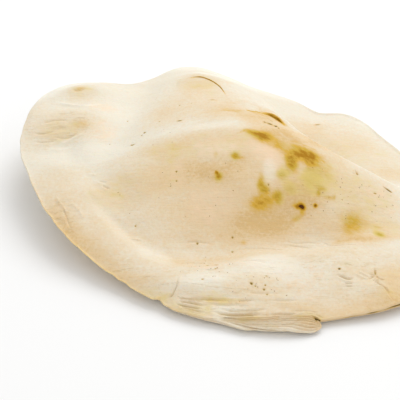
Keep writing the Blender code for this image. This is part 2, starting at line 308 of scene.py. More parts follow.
# A curve is drawn with this many points.
CURVE_POINTS = 25

# Soft mounds again, here pits of this depth and darkness: pinholes with painted shade in them, scorched
# specks, and painted shadow in the gap at the tongue's tip.
PIT_DEPTH = 0.5 * MM
PIT_SHADE_AND_SPECKS = 0.95
PITS = each(Swell, (
    (-50.9, 21.1, 0.7, 0.6, 1), (-52.6, 18.7, 0.5, 0.4, 0.7), (-61.8, 40.9, 0.5, 0.5, 0.7),
    (-42.7, 29.8, 0.6, 0.4, 0.7), (-31.1, 25.5, 1.5, 0.6, 1), (16.8, 18.6, 0.9, 0.5, 0.9, -10),
    (19.8, 17.2, 1.4, 0.9, 1.1, -25), (23, 15.6, 1, 1, 1.1, -35), (24.4, 13, 0.6, 1.2, 0.7),
    (20.6, 22.4, 1.3, 0.4, 0.4, -35), (-31.4, 45, 0.5, 0.7, 0.6), (-24.4, 45.2, 0.5, 0.4, 0.5),
    (-12.2, 47.9, 1.8, 0.5, 0.5), (-57.4, 12, 1.4, 0.5, 0.8), (-32.2, -16.2, 0.6, 0.5, 0.9),
    (-32.1, -21.5, 0.5, 0.5, 0.8), (53, 71.8, 1.9, 0.5, 0.8, 8), (-53.5, -44.5, 0.5, 0.5, 0.8),
    (-2.4, -50.8, 0.6, 0.6, 0.9), (-2.6, -59, 0.6, 0.5, 0.8), (-20.8, -53.7, 0.6, 0.7, 1),
    (-15.6, -72.5, 0.9, 0.5, 0.7), (-11.1, -72.9, 0.9, 0.5, 0.6), (-11.6, -76.9, 0.6, 0.5, 0.7),
    (-18.2, -87.3, 0.8, 0.5, 0.6), (50.7, -78.5, 0.7, 0.6, 1.2), (6.1, -88.3, 0.8, 0.7, 1, -40),
    (8, -89.6, 0.5, 0.5, 0.7), (13, -88.7, 0.5, 0.5, 0.8), (12.3, -91.2, 0.6, 0.6, 1),
    (13.7, -93.8, 0.5, 0.5, 0.7), (13.8, -82.5, 0.8, 0.4, 0.6), (69.1, -78, 0.4, 1.4, 0.4, 8),
    (35.2, -106.6, 1.8, 0.5, 0.8, -14), (37.8, -107.8, 1.3, 0.5, 1.2, -38), (38.9, -108.8, 0.6, 0.9, 1.3),
    (35.4, -34.4, 1.4, 0.9, 0.06, -30), (33.4, -33.7, 1.4, 0.7, 0.05, 8), (42, -33.6, 0.7, 0.6, 0.1),
    (17.2, -25.4, 0.5, 0.5, 0.9), (17.4, -28.2, 0.6, 0.5, 0.6), (83.6, -16, 2, 0.6, 1, -30),
    (75.6, -21, 0.8, 0.5, 0.8), (66.4, -10.7, 0.6, 1, 0.7),
))

# Slow unevenness of the skin.
WAVES = (Wave(0.7, 26, 26, 11), Wave(0.25, 13, 8, 12), Wave(0.09, 6, 2.8, 13))

# The fine ripples, and where they are strong.
RIPPLE = Wave(0.34, 13, 2.5, 21)
RIPPLED = each(Swell, (
    (-99, 32, 30, 15, 0.55), (-92, -40, 9, 16, 0.8, 40), (-62, -76, 18, 8, 0.45, -38),
    (0, -80, 70, 22, 0.45), (62, -82, 30, 22, 0.3), (-22, -100, 22, 9, 0.9, -10), (14, -110, 30, 7, 0.8),
    (20, 42, 40, 16, 0.35), (60, -30, 30, 20, 0.3),
))

# The rim is ragged: how far it steps in and out, at how many places round the loaf, and its seed.
RIM_RAGGED = 0.35 * MM
RIM_TEETH = 150
RIM_SEED = 31
# The thin bead along the edge of the top skin: its height, how far in from the rim it lies, and how far it
# reaches to each side. Other detail is in full only further in than this.
BEAD_HEIGHT = 0.35 * MM
BEAD_INSET = 0.3 * MM
BEAD_WIDTH = 1.1 * MM
DETAIL_FADE = 1.5 * MM

# The rings of the top lie closer together near the rim: this much closer, in this share of the radius.
RIM_CROWDING = 0.4
RIM_CROWD_REACH = 0.06

# Bearings that differ by less than this, in radians, are the same one, and less than this is no fillet.
SAME_BEARING = 1e-6
NO_FILLET = 1e-9

# Edges of the mesh nearer than this to a lip, a crease or a pit are split, and the nearest ones again.
REFINE_REACH = (1.9 * MM, 0.9 * MM)

# ------------------------------------------------------------------------------------------- the colours

# Linear colours of the skin. Tan and deep tan are baked colour and also painted shade, pale is flour and also
# painted light, gilt is the golden edge with a painted highlight, and the crease colours are painted shade in
# creases, pits, pleats, the seam and under the tongue's tip, and the colour of the scorched specks.
CREAM = (0.76, 0.70, 0.575, 1)
TAN = (0.72, 0.55, 0.335, 1)
DEEP_TAN = (0.64, 0.44, 0.20, 1)
PEACH = (0.82, 0.625, 0.43, 1)
OLIVE = (0.69, 0.53, 0.19, 1)
PALE = (0.83, 0.79, 0.68, 1)
GOLD = (0.63, 0.385, 0.055, 1)
GOLD_OLIVE = (0.50, 0.36, 0.04, 1)
BROWN = (0.39, 0.185, 0.006, 1)
CHAR = (0.075, 0.018, 0.001, 1)
GILT_AND_HIGHLIGHT = (0.93, 0.69, 0.33, 1)
CREASE_TAN = (0.55, 0.38, 0.12, 1)
CREASE_BROWN = (0.07, 0.035, 0.008, 1)

# The noises of the skin: how wide their features are in millimetres, their detail and roughness, and the
# frame they are in. Streaks run along X, far longer than wide, and scorch marks down the slope.
Noise = namedtuple("Noise", "size detail roughness frame")
NOISES = {
    "blotch": Noise(9, 3, 0.55, "even"),
    "mottle": Noise(3.2, 3, 0.6, "even"),
    "speck": Noise(1.6, 3, 0.6, "even"),
    "grain": Noise(0.45, 2, 0.5, "even"),
    "fold": Noise(4.5, 2, 0.5, "streaked"),
    "streak": Noise(1.8, 4, 0.6, "streaked"),
    "thread": Noise(0.7, 2, 0.5, "streaked"),
    "scorch": Noise(1.9, 4, 0.65, "downhill"),
}
STREAK_STRETCH = (0.14, 1, 1)
SCORCH_TURN = (0, 0, radians(-38))
SCORCH_STRETCH = (2.2, 1, 1)

# How strongly these noises break up each painted share.
BROKEN_BY = {
    "tan_and_shade": {"blotch": 0.5, "streak": 0.4, "speck": 0.8, "mottle": 0.5, "grain": 0.45},
    "peach": {"blotch": 0.8, "mottle": 0.8},
    "olive": {"blotch": -0.9, "streak": 0.5, "mottle": -0.8},
    "pale_and_lit": {"streak": 0.5, "blotch": 0.4},
    "wrinkled": {"blotch": 1.2},
    "toast_and_shadow": {"scorch": 0.4},
}

# From which to which share each coat of colour comes in.
DEEP_TAN_COMES = (1, 1.7)
PEACH_COMES = (0.1, 1)
OLIVE_COMES = (0.1, 1)
PALE_COMES = (0, 1.1)
GOLD_COMES = (0, 0.6)
BROWN_COMES = (0.5, 1.1)
CHAR_COMES = (1.15, 1.5)
CREASE_TAN_COMES = (0, 0.6)
CREASE_BROWN_COMES = (0.4, 1)

# Toast is ragged: its least share of what is painted, and how much the scorch marks add between two values.
TOAST_LEAST = 0.76
TOAST_RAGGED = 0.5
SCORCH_MARKS = (0.3, 0.7)

# Fine wrinkles: how far from its middle value the noise of the folds makes one, where they come in and where
# mottling breaks them off, and the colour of the shade painted in them and its share.
WRINKLE_FINENESS = 0.035
WRINKLES_COME = (0.1, 0.7)
WRINKLE_GAPS = (0.42, 0.56)
WRINKLE_SHADE_TAN = (0.60, 0.46, 0.25, 1)
WRINKLE_SHADE_SHARE = 0.3

# The relief of the skin, in millimetres: of its streaks, how much they gain where it is wrinkled, of the
# other noises, and how deep the fine wrinkles are.
STREAK_HEIGHT = 0.28
STREAK_GAIN = 0.3
HEIGHTS = {"thread": 0.2, "speck": 0.2, "blotch": 0.5, "grain": 0.06}
WRINKLE_HEIGHT = -0.18
RELIEF_STRENGTH = 0.8

# The skin is dull, a little more so in blotches, and some light passes into it.
SKIN_ROUGHNESS = 0.5
BLOTCH_ROUGHNESS = 0.3
SKIN_FINISH = {
    "Specular IOR Level": 0.1,
    "Subsurface Weight": 0.1,
    "Subsurface Radius": (1, 0.55, 0.3),
    "Subsurface Scale": 1.5 * MM,
}

# Blots of a colour, with a height for the share of that colour: baked colour, and in the tan, pale and
# scorched ones also painted shade and light. Strokes are the same along a curve, in millimetres, with how far
# they reach to each side. A stroke fades in this share of it at either end.
Stroke = namedtuple("Stroke", "points width strength")
STROKE_TAPER = 0.25
# Tan: baked colour on the dome and brims, and painted shade on the dome's front slopes, in the valley at its
# foot and low in front.
TANNED_AND_SHADED = each(Swell, (
    # The dome and its foot.
    (5, -25, 47, 31, 0.95), (-2, 3, 42, 7, 0.35), (-52, -21, 30, 14, 0.7, 15), (-38, -43, 30, 11, 0.4),
    (-36, -78, 16, 12, 0.3), (-78, -48, 13, 12, 0.4), (30, -46, 40, 10, 0.3), (16, -42, 18, 8, 0.5),
    (-2, -50, 9, 6, 0.3), (-30, -60, 50, 11, 0.4), (-10, -70, 48, 7, 0.4), (-64, -52, 16, 12, 0.22, -40),
    (36, 8, 14, 9, 0.7), (46, 13, 14, 7, 0.5, -38), (52, 1, 13, 9, 0.5, -38), (4, 27, 28, 6, 0.35),
    (18, 19, 16, 13, 0.95, -20), (26, 0, 18, 10, 0.5, -20), (64, -26, 26, 22, 0.65),
    (34, -29, 12, 9, 0.55), (-20, -84, 26, 4, 0.25), (12, -81, 10, 7, 0.35), (28, -101, 12, 3, 0.35),
    (62, -45, 18, 8, 0.35), (66, -56, 14, 4, 0.35), (76, -80, 9, 7, 0.4), (30, -64, 36, 8, 0.2),
    # The far brim and the hump.
    (44, 66, 16, 11, 0.5), (20, 38, 7, 8, 0.65), (64, 56, 24, 18, 0.35), (74, 32, 34, 24, 0.4, -20),
    (92, 16, 13, 9, 0.4), (-20, 76, 15, 13, 0.6), (-20, 46, 28, 24, 0.55), (2, 40, 14, 9, 0.2),
    (-3, 22, 14, 5, 0.3), (-42, 27, 12, 7, 0.3), (-36, -3, 12, 6, 0.3), (-34, 6, 24, 9, 0.35, 12),
    (-60, -2, 20, 9, 0.25, 20), (-4, 33, 12, 5, 0.3),
    # The back, on the left.
    (-93, 34, 20, 14, 0.5), (-88, 33, 9, 4, 0.2), (-112, 34, 14, 22, 0.3), (-91, 66, 10, 10, 0.35),
    # The brims on the left and in front.
    (-97, -24, 22, 24, 0.5), (0, -95, 52, 7, 0.3), (12, -90, 20, 6, 0.35), (20, -101, 22, 5, 0.35),
    (-30, -101, 19, 8, 0.55, -10), (5, -106.5, 22, 4, 0.4), (18, -111, 26, 6, 0.5),
    (84, -84, 12, 17, 0.5, -25), (86, -44, 12, 8, 0.4), (-10, -14, 16, 12, 0.45), (-44, 40, 12, 8, 0.25),
    (58, -88, 22, 13, 0.4), (65, -68, 32, 14, 0.3),
))
# Tan strokes: painted shade in the valley at the foot of the dome and along a fold above the tongue, and tan
# low along the rim in front, which is partly baked colour and partly painted shade.
TAN_SHADE_STROKES = each(Stroke, (
    (((-106, -20), (-90, -51), (-75, -67), (-58, -81), (-36, -95)), 13, 1.1),
    (((22, -110), (50, -106), (72, -99), (90, -88)), 12, 1),
    (((-18, -97.8), (-6, -98), (6, -97.8)), 2, 0.6),
    (((46, -52), (58, -52.5), (72, -52), (92, -47)), 5, 0.9),
))
PEACHY = each(Swell, (
    (-8, -4, 22, 7, 0.45), (26, -14, 10, 12, 0.3), (80, -22, 14, 12, 0.35), (-14, -36, 16, 12, 0.45),
    (-32, -18, 5, 10, 0.4), (-77, 55, 10, 8, 0.5), (-74, 30, 9, 12, 0.5), (28, 70, 44, 26, 0.1),
    (17, -8, 9, 10, 0.6), (16, -72, 16, 8, 0.35), (-6, -73, 22, 6, 0.3), (32, -86, 14, 14, 0.35),
    (70, 60, 16, 10, 0.15),
))
OLIVED = each(Swell, (
    (40, -20, 6, 5, 0.5), (38, -22, 16, 9, 0.26), (29, -26, 4, 4, 0.5), (24.4, -19, 4, 3, 0.6),
    (14.5, -25, 4.4, 5.4, 0.5), (22.4, -31, 4, 4, 0.5), (28.6, -14, 5, 6, 0.5), (36, -4, 11, 4, 0.4),
    (12, 4, 9, 4, 0.5, -20), (75.4, -48.5, 4, 3, 0.8, -40), (0, -10.8, 4, 3.4, 0.6),
    (-9.3, -21.4, 3.4, 3.2, 0.6), (31.7, -39, 3, 2.4, 0.4), (30, -29, 10, 6, 0.15),
    (-69, -27, 14, 9, 0.3, -30), (-64, -14, 10, 5, 0.2, -20), (-42, -12, 28, 16, 0.2, 10),
    (66, -24, 26, 16, 0.36, -20), (47, -12, 8, 6, 0.25, -30), (-14.5, -101, 2, 5, 0.3),
    (-8, -98, 14, 2, 0.2), (-99, 30, 13, 9, 0.45), (-90, 68, 12, 9, 0.3), (-6, -5, 12, 7, 0.2),
    (-40, 0, 12, 9, 0.25), (80, -42, 10, 6, 0.35), (44, -24, 6, 6, 0.3), (-6, 0, 22, 9, 0.18),
    (-22, 74, 14, 10, 0.28), (-12, 66, 10, 10, 0.2), (-12, 57, 6, 8, 0.2), (60, -43, 12, 9, 0.2),
    (72, 40, 28, 20, 0.25), (-42, -94, 14, 6, 0.45, -20), (-24, -104, 12, 5, 0.4), (-10, -96, 16, 3, 0.3),
    (5, -108, 9, 3, 0.4), (34, -107, 8, 4, 0.4), (56, -75, 5, 4, 0.3), (78, -88, 18, 14, 0.2, -25),
))
# Pale strokes, most of them painted highlights along the crests of ridges and of the left brim's roll.
PALE_HIGHLIGHT_STROKES = each(Stroke, (
    (((-96, 3), (-90, -9), (-82, -21), (-74, -33), (-67, -41), (-59, -51), (-52, -62), (-47, -74)), 9, 0.3),
    (((-108, 60), (-104, 59), (-98, 54.5), (-89, 51.5), (-82, 55), (-76, 60)), 2.4, 0.5),
    (((-100, 19), (-96, 21), (-90, 23.5), (-84, 27)), 1.6, 0.4),
    (((-80, -11), (-75, -14), (-68, -20)), 2, 0.4),
    (((22, 12), (28, 3), (33, 4)), 2, 0.3),
))
# Pale blots: floury pale skin, and painted light where the skin is brighter than the shading of its shape
# gives.
PALED_AND_LIT = each(Swell, (
    (-66, 50, 16, 34, 0.4), (-84, 10, 34, 10, 0.5), (10, 112, 80, 14, 0.9, -6),
    (84, 88, 34, 12, 0.9, -45), (-92, 98, 40, 14, 0.7, 30), (-108, 76, 18, 9, 1, 48),
    (-10, -8, 16, 8, 0.35), (54, -33, 7, 11, 0.3), (-28, -97, 11, 4, 0.4, -10), (-10, -103, 14, 3, 0.4),
    (-104, 40, 16, 12, 0.3), (18, -18, 4.5, 7, 0.5), (-22, 14, 26, 4, 0.4), (-8, 86, 20, 6, 0.8, -25),
    (-18, -86, 14, 5, 0.6), (16, -73, 18, 9, 0.7), (-42, -66, 12, 7, 0.5, -35),
))

# Where the oven has toasted it: 0.45 is golden, 0.85 brown and from 1.2 it is charred.
TOASTED = each(Swell, (
    # The streak on the ridge, and what joins it to the arch.
    (10.4, 4.8, 5.4, 2.5, 0.7, -25), (15.8, 2.2, 4.6, 4.4, 0.92, -20), (22.8, -2.8, 4, 5, 0.46, 35),
    (27.5, -8, 3, 3.4, 0.1),
    # The arch, with a leg on each side, and the glow to the right of it.
    (33, -1.6, 5, 1.4, 0.2, -5), (37, -6.2, 7.6, 4, 0.98, -4), (43.5, -5.6, 5, 2.4, 0.2, -12),
    (30.2, -13.6, 3.1, 4.6, 0.85, 12), (32, -9.4, 4, 2.6, 0.3), (40.6, -11.2, 3.2, 4, 0.55, -30),
    (47, -14, 7.6, 7, 0.27),
    # The spots below it.
    (24.4, -20.5, 3, 2.4, 0.35), (13.4, -24.2, 1.6, 4.2, 0.5), (15.4, -27.6, 2.1, 2, 0.6),
    (11.8, -26.5, 1.4, 2.4, 0.3), (22.2, -30.2, 2.1, 2.6, 0.55), (15, -33, 8, 4, 0.6, 14),
    (11.4, -34.8, 4, 2.2, 0.32, 5), (29, -26.5, 3, 3, 0.25), (38.4, -22.5, 4.6, 4.2, 0.16),
    # The charred blister, and the specks round it.
    (35.4, -34.3, 1.7, 1.2, 1.25, -30), (33.2, -34, 2.3, 1.2, 1.05, 8), (30.8, -33.3, 1.6, 0.6, 0.35),
    (33.6, -32.6, 2.6, 1.4, 0.25), (35, -36.4, 1.3, 1.8, 0.6), (31.7, -39.3, 2.6, 1.6, 0.42, 20),
    (42, -33.5, 1.1, 0.9, 1.5),
    # On the right.
    (45.8, -25, 2.8, 1.3, 0.5, -15), (44, -27.7, 1.1, 1.4, 0.65), (49.5, -29.4, 3, 1.1, 0.4),
    (52.5, -28.6, 0.8, 1.4, 0.45, -20), (62.6, -41.5, 9, 8.4, 0.4), (60, -43, 3, 6, 0.16, -20),
    (75.4, -48.5, 2.2, 1.6, 0.5, -40), (75, -42.4, 2.6, 0.8, 0.3),
    # On the left.
    (-0.4, -10.8, 1.5, 1.4, 0.65), (-0.2, -10.6, 3.4, 2.4, 0.32), (3, -12, 2.3, 0.8, 0.36),
    (-10.6, -19.1, 0.8, 0.8, 1.3), (-9.3, -21.2, 1.5, 1.5, 0.65), (-9.5, -21.4, 3, 2.6, 0.34),
    (-11, -8.8, 1.4, 2, 0.3), (3.3, -53.3, 1.5, 1.3, 0.42),
    # At the back.
    (-92.6, 69.8, 5, 2.4, 0.34, 15), (-88, 33, 5, 3, 0.25), (-4.4, 30.5, 4, 1.4, 0.3),
    (2, 29.5, 3.4, 2.4, 0.3), (-12, 47, 3, 1, 0.2),
))
# Scorched strokes: painted shadow under the slit's lip, golden and browned streaks, the torn blister's brown
# face, which is partly painted shade, and the golden top edge of its lip.
SCORCHED_AND_SHADOWED = each(Stroke, (
    (((-31, 81), (-20.4, 81.4), (-15, 78), (-10.5, 72.8), (-6.6, 65), (-3, 50)), 0.7, 1),
    (((6, 33), (9.5, 31.4), (14, 32.2), (24, 31)), 1.2, 0.85),
    (((-9, 33), (-1, 31), (7, 24)), 4.5, 0.2),
    (((9, 30), (15, 29.5), (21, 27)), 3, 0.3),
    (((12, 34.6), (19, 33.4), (23, 30.4), (27, 25.8), (33, 15)), 2.2, 0.42),
    (((14, 32.4), (20, 31.8), (23.4, 28.8), (26.4, 24.8), (30, 17)), 2.3, 0.92),
    (((-2, 3), (3, 5), (7, 7.6), (12, 5.5), (18, 1.5)), 1.2, 0.36),
    (((27, -1), (33, 1.5), (38, 0), (43, -1), (48, -4)), 1.1, 0.36),
    (((31, -3), (38, -2), (45, -4)), 1, 0.3),
    (((40, -4), (46, -7), (50, -11)), 1.4, 0.5),
    (((15, 18.5), (20, 16), (25, 12.5)), 2.2, 0.3),
))

# Where the skin is speckled with bran: the height is the share of the densest speckling, in flakes for each
# square metre. Flakes are from the least to the most of these lengths, widths and thicknesses, in their size.
SPECKLED = each(Swell, (
    (60, -28, 26, 12, 0.6), (80, -26, 14, 8, 0.4), (-14, -74, 12, 10, 0.6), (10, -90, 14, 9, 0.9),
    (-20, -20, 40, 30, 0.06), (-52, 14, 20, 12, 0.2),
))
BRAN_DENSITY = 60000
BRAN_SIZE = 0.45 * MM
BRAN_LEAST = (0.5, 0.3, 0.1)
BRAN_MOST = (1.2, 0.6, 0.16)
BRAN_SEED = 5
BRAN_DARK = (0.16, 0.07, 0.02, 1)
BRAN_LIGHT = (0.50, 0.30, 0.10, 1)
BRAN_LIGHT_COMES = (0.35, 0.65)
# Their colour changes over this distance, and their grain is this fine and breaks the colour up this much.
BRAN_PATCH = 3 * MM
BRAN_GRAIN = 0.2 * MM
BRAN_BROKEN = 0.4
# How rough they are, and how much more so at the top of their grain, and the depth and strength of the grain.
BRAN_ROUGHNESS = 0.55
BRAN_ROUGHER = 0.3
BRAN_RELIEF = 0.05 * MM
BRAN_RELIEF_STRENGTH = 0.4

# The very edge is golden in front on the left, and painted with a highlight there: middle and half width of
# that stretch, in degrees, and how far in from the rim the gold and highlight reach.
GILT_HIGHLIGHT_BEARING = 222
GILT_HIGHLIGHT_SPREAD = 50
GILT_HIGHLIGHT_REACH = 0.4 * MM

# ------------------------------------------------------------------------------------ the camera and light

CAMERA_ELEVATION = 33
CAMERA_DISTANCE = 617.8 * MM
CAMERA_LENS = 100
CAMERA_SENSOR = 36
CAMERA_AIM = (-17.45 * MM, -10.64 * MM, 10 * MM)

# Square lamps that look at the middle of the loaf, in metres and watts, in an even pale room.
WORLD_STRENGTH = 0.82
Lamp = namedtuple("Lamp", "name place size watts")
LAMPS = (Lamp("window", (0.3, 0.66, 1.0), 0.9, 7.2), Lamp("fill", (0.4, -0.9, 0.35), 0.9, 1.2))

# The floor: half its width in metres, and its finish.
FLOOR_REACH = 8
FLOOR_FINISH = {"Base Color": (0.87, 0.87, 0.865, 1), "Roughness": 0.9, "Specular IOR Level": 0.1}


def ease(t):
    """0 to 1 as t goes from 0 to 1, level at both ends."""
    t = np.clip(t, 0, 1)
    return t * t * (3 - 2 * t)


def bell(t):
    """1 at 0, falling smoothly to 0 at 1 and at -1."""
    return 1 - ease(np.abs(t))


def swell_up(t):
    """0 to 1 as t goes from 0 to 1, steep at first and level at the end."""
    return np.sin(np.clip(t, 0, 1) * np.pi / 2)


def smooth_max(a, b, fillet):
    """The higher of two heights, with a fillet where they meet."""
    near = np.clip(1 - np.abs(a - b) / np.maximum(fillet, NO_FILLET), 0, 1)
    return np.maximum(a, b) + near * near * fillet / 4


def smooth_curve(at, knots, values):
    """A smooth curve through values at rising knots (cubic Hermite), read at the places at."""
    slope = np.gradient(values, knots)
    i = np.clip(np.searchsorted(knots, at, side="right") - 1, 0, len(knots) - 2)
    step = knots[i + 1] - knots[i]
    t = np.clip((at - knots[i]) / step, 0, 1)
    return (
        values[i] * (1 + 2 * t) * (1 - t) ** 2
        + slope[i] * step * t * (1 - t) ** 2
        + values[i + 1] * t * t * (3 - 2 * t)
        + slope[i + 1] * step * t * t * (t - 1)
    )


def round_the_rim(bearing, column):
    """A column of RIM, in metres, at bearings in radians. The list is repeated to close smoothly."""
    knots = np.array([r.bearing for r in RIM], float)
    values = np.array([getattr(r, column) for r in RIM], float) * MM
    knots = np.concatenate([knots - 360, knots, knots + 360])
    return smooth_curve(np.degrees(bearing) % 360, knots, np.tile(values, 3))


def ledge(bearing):
    """How much of the lower skin's ledge there is at a bearing, from 0 to 1."""
    degrees = np.degrees(bearing) % 360
    root = ease((degrees - LEDGE_START) / (LEDGE_FULL - LEDGE_START))
    return root * ease((LEDGE_END - degrees) / LEDGE_FADE)


def ragged(bearing):
    """Small random steps of the rim, in metres."""
    table = np.random.default_rng(RIM_SEED).uniform(-1, 1, RIM_TEETH)
    at = (bearing % (2 * np.pi)) / (2 * np.pi) * RIM_TEETH
    tooth = np.floor(at).astype(int)
    part = ease(at - tooth)
    return RIM_RAGGED * (table[tooth % RIM_TEETH] * (1 - part) + table[(tooth + 1) % RIM_TEETH] * part)


def rim_radius(bearing):
    """How far the rim lies from the middle, with the ledge, the nick and the ragged edge."""
    nick = NICK_DEPTH * bell((np.degrees(bearing) % 360 - NICK_BEARING) / NICK_HALF_WIDTH)
    return round_the_rim(bearing, "radius") + LEDGE_REACH * ledge(bearing) - nick + ragged(bearing)


def edge_thickness(bearing):
    """How thick the edge is, in metres. It is thinner over the ledge."""
    return round_the_rim(bearing, "edge") - LEDGE_THINNING * ledge(bearing)


def edge_height(bearing):
    """Height of the rim of the top skin."""
    return round_the_rim(bearing, "lift") + edge_thickness(bearing)


def dome(x, y):
    """A tent over the ridge with a rounded top. It falls below 0 past its foot."""
    table = np.array(DOME, float) * MM
    ridge, height, front, back = (smooth_curve(x, table[:, 0], column) for column in table.T[1:])
    away = (y - ridge) / np.where(y < ridge, front, back)
    span = np.sqrt(1 + RIDGE_SOFTNESS) - np.sqrt(RIDGE_SOFTNESS)
    fall = (np.sqrt(away**2 + RIDGE_SOFTNESS) - np.sqrt(RIDGE_SOFTNESS)) / span
    return height * (1 - fall)


def swell_distance(swell, x, y):
    """How far off the middle of a swell each place is, squared, in its half widths."""
    turn = np.radians(swell.turn)
    dx, dy = x - swell.x * MM, y - swell.y * MM
    along = (dx * np.cos(turn) + dy * np.sin(turn)) / (swell.length * MM)
    across = (dy * np.cos(turn) - dx * np.sin(turn)) / (swell.width * MM)
    return along**2 + across**2


def mounds(swells, x, y):
    """The sum of these soft mounds and hollows, in the unit of their heights."""
    return sum(swell.height * np.exp(-swell_distance(swell, x, y)) for swell in swells)


def blots(swells, x, y):
    """The same with flat tops and firmer edges."""
    return sum(swell.height * np.exp(-(swell_distance(swell, x, y) ** 2)) for swell in swells)


def wave_height(wave, x, y):
    """Smooth random heights of the skin, in metres."""
    table = np.random.default_rng(wave.seed).uniform(-1, 1, (WAVE_TABLE, WAVE_TABLE))
    u = x / (wave.length * MM) + WAVE_TABLE / 2
    v = y / (wave.width * MM) + WAVE_TABLE / 2
    i, j = np.floor(u).astype(int), np.floor(v).astype(int)
    p, q = ease(u - i), ease(v - j)
    near = table[i, j] * (1 - p) + table[i + 1, j] * p
    far = table[i, j + 1] * (1 - p) + table[i + 1, j + 1] * p
    return wave.height * MM * (near * (1 - q) + far * q)


def waves(x, y):
    """The slow unevenness and the ripples, in metres."""
    slow = sum(wave_height(wave, x, y) for wave in WAVES)
    return slow + np.clip(mounds(RIPPLED, x, y), 0, 1) * wave_height(RIPPLE, x, y)


def curve_through(points):
    """The smooth curve through these points, in metres."""
    points = np.array(points, float) * MM
    knots = np.arange(len(points), dtype=float)
    at = np.linspace(0, len(points) - 1, CURVE_POINTS)
    return np.stack([smooth_curve(at, knots, column) for column in points.T], axis=1)


Beside = namedtuple("Beside", "away side along left_x left_y")


def beside(points, x, y):
    """How each place lies to the curve through points: how far away, how far to the left, how far along
    from 0 to 1, and which way left is there."""
    curve = curve_through(points)
    away = np.full(x.shape, np.inf)
    side, along, left_x, left_y = (np.zeros(x.shape) for _ in range(4))
    for i, (start, step) in enumerate(zip(curve, np.diff(curve, axis=0))):
        length = np.hypot(*step)
        dx, dy = x - start[0], y - start[1]
        t = np.clip((dx * step[0] + dy * step[1]) / length**2, 0, 1)
        distance = np.hypot(dx - t * step[0], dy - t * step[1])
        closer = distance < away
        away = np.where(closer, distance, away)
        side = np.where(closer, (step[0] * dy - step[1] * dx) / length, side)
        along = np.where(closer, (i + t) / (len(curve) - 1), along)
        left_x = np.where(closer, -step[1] / length, left_x)
        left_y = np.where(closer, step[0] / length, left_y)
    return Beside(away, side, along, left_x, left_y)


def lip_shift(lip, x, y):
    """How the skin moves at the lip, as x, y and z: it folds in under the raised skin and out over it."""
    at = beside(lip.points, x, y)
    passed = np.clip(0.5 + at.side / LIP_WIDTH, 0, 1)
    cut = np.array(FOLD, float)
    drawn = smooth_curve(passed, cut[:, 0], cut[:, 1]) * lip.overhang * MM
    raised = smooth_curve(passed, cut[:, 0], cut[:, 2]) * lip.height * MM
    strength = ease(at.along / lip.taper) * ease((1 - at.along) / lip.taper)
    strength = strength * np.exp(-((at.away / (lip.reach * MM)) ** 2))
    return strength * drawn * at.left_x, strength * drawn * at.left_y, strength * raised


def close_to(points, x, y, reach):
    """Which places lie in the box round the curve through points, made wider by reach."""
    curve = curve_through(points)
    low, high = curve.min(0) - reach, curve.max(0) + reach
    return (x > low[0]) & (x < high[0]) & (y > low[1]) & (y < high[1])


def creases(x, y):
    """How deep the creases are, in metres, and how much shade is painted in their bottoms, from 0 to 1."""
    depth, dark = np.zeros(x.shape), np.zeros(x.shape)
    for crease in CREASES:
        width = crease.width * MM
        near = close_to(crease.points, x, y, CREASE_REACH * width)
        at = beside(crease.points, x[near], y[near])
        off = np.copysign(at.away, at.side) / width
        taper = ease(at.along / CREASE_TAPER) * ease((1 - at.along) / CREASE_TAPER)
        shoulder = SHOULDER * bell((off + SHOULDER_PLACE) / SHOULDER_WIDTH)
        depth[near] += crease.depth * MM * taper * (bell(off) - shoulder)
        # A groove's bottom is painted with shade.
        if crease.depth > 0:
            shade = CREASE_SHADE * crease.depth * taper * bell(off / CREASE_SHADE_WIDTH)
            dark[near] = np.maximum(dark[near], shade)
    return depth, dark


def bead(inset):
    """Height of the thin bead along the edge of the top skin."""
    return BEAD_HEIGHT * bell((inset - BEAD_INSET) / BEAD_WIDTH)


def brim(x, y, inset, bearing):
    """The brim: it swells up from the rim to its soft roll and sinks behind that to the ground."""
    edge = edge_height(bearing)
    crest = round_the_rim(bearing, "roll")
    reach = round_the_rim(bearing, "inset")
    ground = GROUND_HEIGHT + MM * mounds(GROUND, x, y)
    outer = edge + (crest - edge) * swell_up(inset / reach)
    inner = crest + (ground - crest) * ease((inset - reach) / ROLL_BACK)
    return np.where(inset < reach, outer, inner)


def top_skin(x, y):
    """The places of the top skin over the plan, as x, y and z."""
    bearing = np.arctan2(y, x)
    inset = np.maximum(round_the_rim(bearing, "radius") - np.hypot(x, y), 0)
    edge = edge_height(bearing)
    puff = edge + (dome(x, y) - edge) * swell_up(inset / DOME_BRIM)
    loaf = smooth_max(brim(x, y, inset, bearing), puff, FOOT_FILLET * ease(inset / DOME_BRIM))
    shift = np.stack([np.zeros(x.shape), np.zeros(x.shape), MM * mounds(SWELLS, x, y)])
    for lip in LIPS:
        shift += lip_shift(lip, x, y)
    shift *= ease(inset / FOOT_FILLET)
    detail = waves(x, y) - creases(x, y)[0] - PIT_DEPTH * mounds(PITS, x, y)
    shift[2] += detail * ease(inset / DETAIL_FADE) + bead(inset)
    return np.stack([x, y, loaf]) + shift


def underside_width(bearing):
    """How far in from the rim the underside comes down on the table."""
    return FOOT_INSET + OVERHANG_PER_LIFT * round_the_rim(bearing, "lift")


def underside_height(inset, bearing):
    """Height of the bottom skin, inset metres in from the rim: it curls up from the table to the rim."""
    return round_the_rim(bearing, "lift") * (1 - ease(inset / underside_width(bearing)))


# ---------------------------------------------------------------------------------------------- the mesh


def crowded(share):
    """Draws shares of the radius closer together near the rim, where the share is 1."""
    left = 1 - share
    return 1 - left * (RIM_CROWDING + (1 - RIM_CROWDING) * ease(left / RIM_CROWD_REACH))


